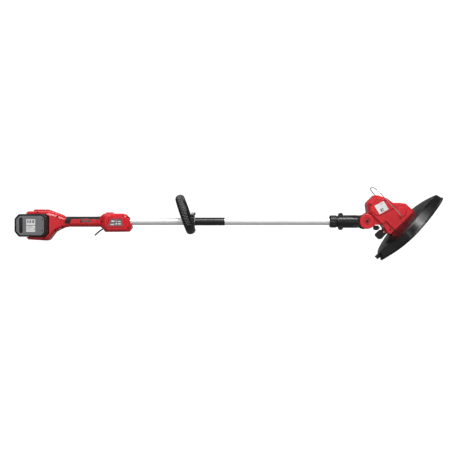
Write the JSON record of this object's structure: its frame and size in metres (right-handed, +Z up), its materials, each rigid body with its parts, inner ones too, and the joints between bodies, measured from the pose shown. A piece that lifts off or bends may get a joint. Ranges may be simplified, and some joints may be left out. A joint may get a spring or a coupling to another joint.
{
  "type": "string trimmer",
  "caption": "Cordless string trimmer with a straight two-piece shaft, battery handle, front loop handle, tilting motor head and debris guard.",
  "frame": {"origin": "on the shaft's axis, at the front loop handle's clamp", "axes": "+X along the shaft towards the cutting head, +Z up, so -Y is the operator's right"},
  "size_m": [1.4877, 0.2659, 0.2548],
  "materials": {
    "red_plastic": "moulded red glass-filled nylon, satin gloss",
    "black_plastic": "moulded black nylon, fine texture",
    "soft_rubber": "soft black thermoplastic rubber",
    "grey_plastic": "moulded mid-grey plastic",
    "label_white": "plain white label",
    "aluminium_tube": "clear anodised drawn tube",
    "black_screw": "black oxide steel",
    "bright_steel": "zinc plated or ground steel",
    "circuit_green": "potted circuit board",
    "line_nylon": "extruded nylon line",
    "cable_black": "PVC sheath"
  },
  "bodies": {
    "root": {"handle_shell_right": "red_plastic", "handle_shell_left": "red_plastic", "grip_pad": "soft_rubber", "shell_screws": "black_screw", "window_plate": "grey_plastic", "grip_badge": "grey_plastic", "terminal_block": "black_plastic", "control_board": "circuit_green", "trigger_switch": "black_plastic", "trigger_pin": "bright_steel", "trigger_spring": "bright_steel", "lock_spring": "bright_steel", "upper_shaft": "aluminium_tube", "lower_shaft": "aluminium_tube", "shaft_coupler": "black_plastic", "shaft_joiner": "aluminium_tube", "power_lead": "cable_black"},
    "battery": {"battery_case": "black_plastic", "battery_cover": "grey_plastic", "battery_base": "black_plastic", "battery_cells": "bright_steel", "battery_label": "label_white", "battery_screws": "black_screw"},
    "release_button": {"battery_release": "black_plastic"},
    "trigger": {"trigger": "black_plastic"},
    "lock_button": {"lock_button": "red_plastic"},
    "loop": {"loop_handle": "black_plastic", "loop_band": "soft_rubber", "clamp_cap": "black_plastic", "clamp_bolts": "bright_steel"},
    "knob": {"clamp_knob": "black_plastic"},
    "collar": {"lock_collar": "black_plastic"},
    "yoke": {"yoke_right": "black_plastic", "yoke_left": "black_plastic", "yoke_screws": "black_screw"},
    "head": {"motor_housing_right": "red_plastic", "motor_housing_left": "red_plastic", "housing_screws": "black_screw", "housing_label": "label_white", "pivot_bolt": "black_screw", "motor_can": "bright_steel", "gear_plate": "grey_plastic", "pedal_pin": "bright_steel", "debris_guard": "black_plastic", "guard_screws": "black_screw", "line_cutter": "bright_steel"},
    "pedal": {"tilt_pedal": "black_plastic"},
    "latch": {"tilt_latch": "black_plastic"},
    "wire_guard": {"plant_guard_wire": "bright_steel"},
    "rotor": {"motor_rotor": "bright_steel", "cooling_fan": "black_plastic"},
    "spool_head": {"spool_housing": "black_plastic", "line_eyelets": "bright_steel", "spool_cap": "black_plastic", "drive_gear": "bright_steel", "spindle": "bright_steel", "bump_spring": "bright_steel"},
    "bump": {"bump_knob": "black_plastic", "spool": "black_plastic", "line_winding": "line_nylon"}
  },
  "joints": [
    {"name": "battery_slide", "type": "slide", "parent": "root", "child": "battery", "axis": [-1, 0, 0], "range_m": [0, 0.09]},
    {"name": "release_press", "type": "slide", "parent": "battery", "child": "release_button", "axis": [1, 0, 0], "range_m": [0, 0.003], "stiffness_N_per_m": 400, "springref_m": -0.002},
    {"name": "trigger_pull", "type": "hinge", "parent": "root", "child": "trigger", "pos_m": [-0.292, 0, -0.018], "axis": [0, 1, 0], "range_deg": [0, 20], "stiffness_Nm_per_rad": 0.2, "springref_deg": -5.73},
    {"name": "lock_press", "type": "slide", "parent": "root", "child": "lock_button", "axis": [0, 0, -1], "range_m": [0, 0.003], "stiffness_N_per_m": 500, "springref_m": -0.001, "deforming": ["lock_spring"]},
    {"name": "loop_slide", "type": "slide", "parent": "root", "child": "loop", "axis": [-1, 0, 0], "range_m": [0, 0.12]},
    {"name": "knob_turn", "type": "hinge", "parent": "loop", "child": "knob", "pos_m": [0.0075, 0.019, 0.02], "axis": [0, 0, 1], "continuous": true},
    {"name": "collar_twist", "type": "hinge", "parent": "root", "child": "collar", "pos_m": [0.5, 0, 0], "axis": [1, 0, 0], "range_deg": [0, 45]},
    {"name": "head_rotate", "type": "hinge", "parent": "root", "child": "yoke", "pos_m": [0.55, 0, 0], "axis": [1, 0, 0], "range_deg": [0, 180]},
    {"name": "head_tilt", "type": "hinge", "parent": "yoke", "child": "head", "pos_m": [0.6115, 0, 0], "axis": [0, 1, 0], "range_deg": [-25, 30]},
    {"name": "pedal_press", "type": "hinge", "parent": "head", "child": "pedal", "pos_m": [0.67196, 0, -0.03642], "axis": [0, -1, 0], "range_deg": [0, 10], "stiffness_Nm_per_rad": 0.8, "springref_deg": -5.73},
    {"name": "latch_slide", "type": "slide", "parent": "head", "child": "latch", "axis": [0.7071, 0, -0.7071], "range_m": [0, 0.0036]},
    {"name": "wire_swing", "type": "hinge", "parent": "head", "child": "wire_guard", "pos_m": [0.72499, 0, 0.01945], "axis": [0, 1, 0], "range_deg": [0, 88]},
    {"name": "spool_spin", "type": "hinge", "parent": "head", "child": "spool_head", "pos_m": [0.74196, 0, 0.0053], "axis": [-0.7071, 0, 0.7071], "continuous": true},
    {"name": "motor_spin", "type": "hinge", "parent": "head", "child": "rotor", "pos_m": [0.72004, 0, -0.01662], "axis": [-0.7071, 0, 0.7071], "continuous": true},
    {"name": "bump_press", "type": "slide", "parent": "spool_head", "child": "bump", "axis": [-0.7071, 0, 0.7071], "range_m": [0, 0.004], "stiffness_N_per_m": 900, "springref_m": -0.003}
  ],
  "couplings": [
    {"joint": "motor_spin", "follows": "spool_spin", "ratio": -4.1667},
    {"joint": "latch_slide", "follows": "pedal_press", "m_per_rad": 0.017189}
  ]
}
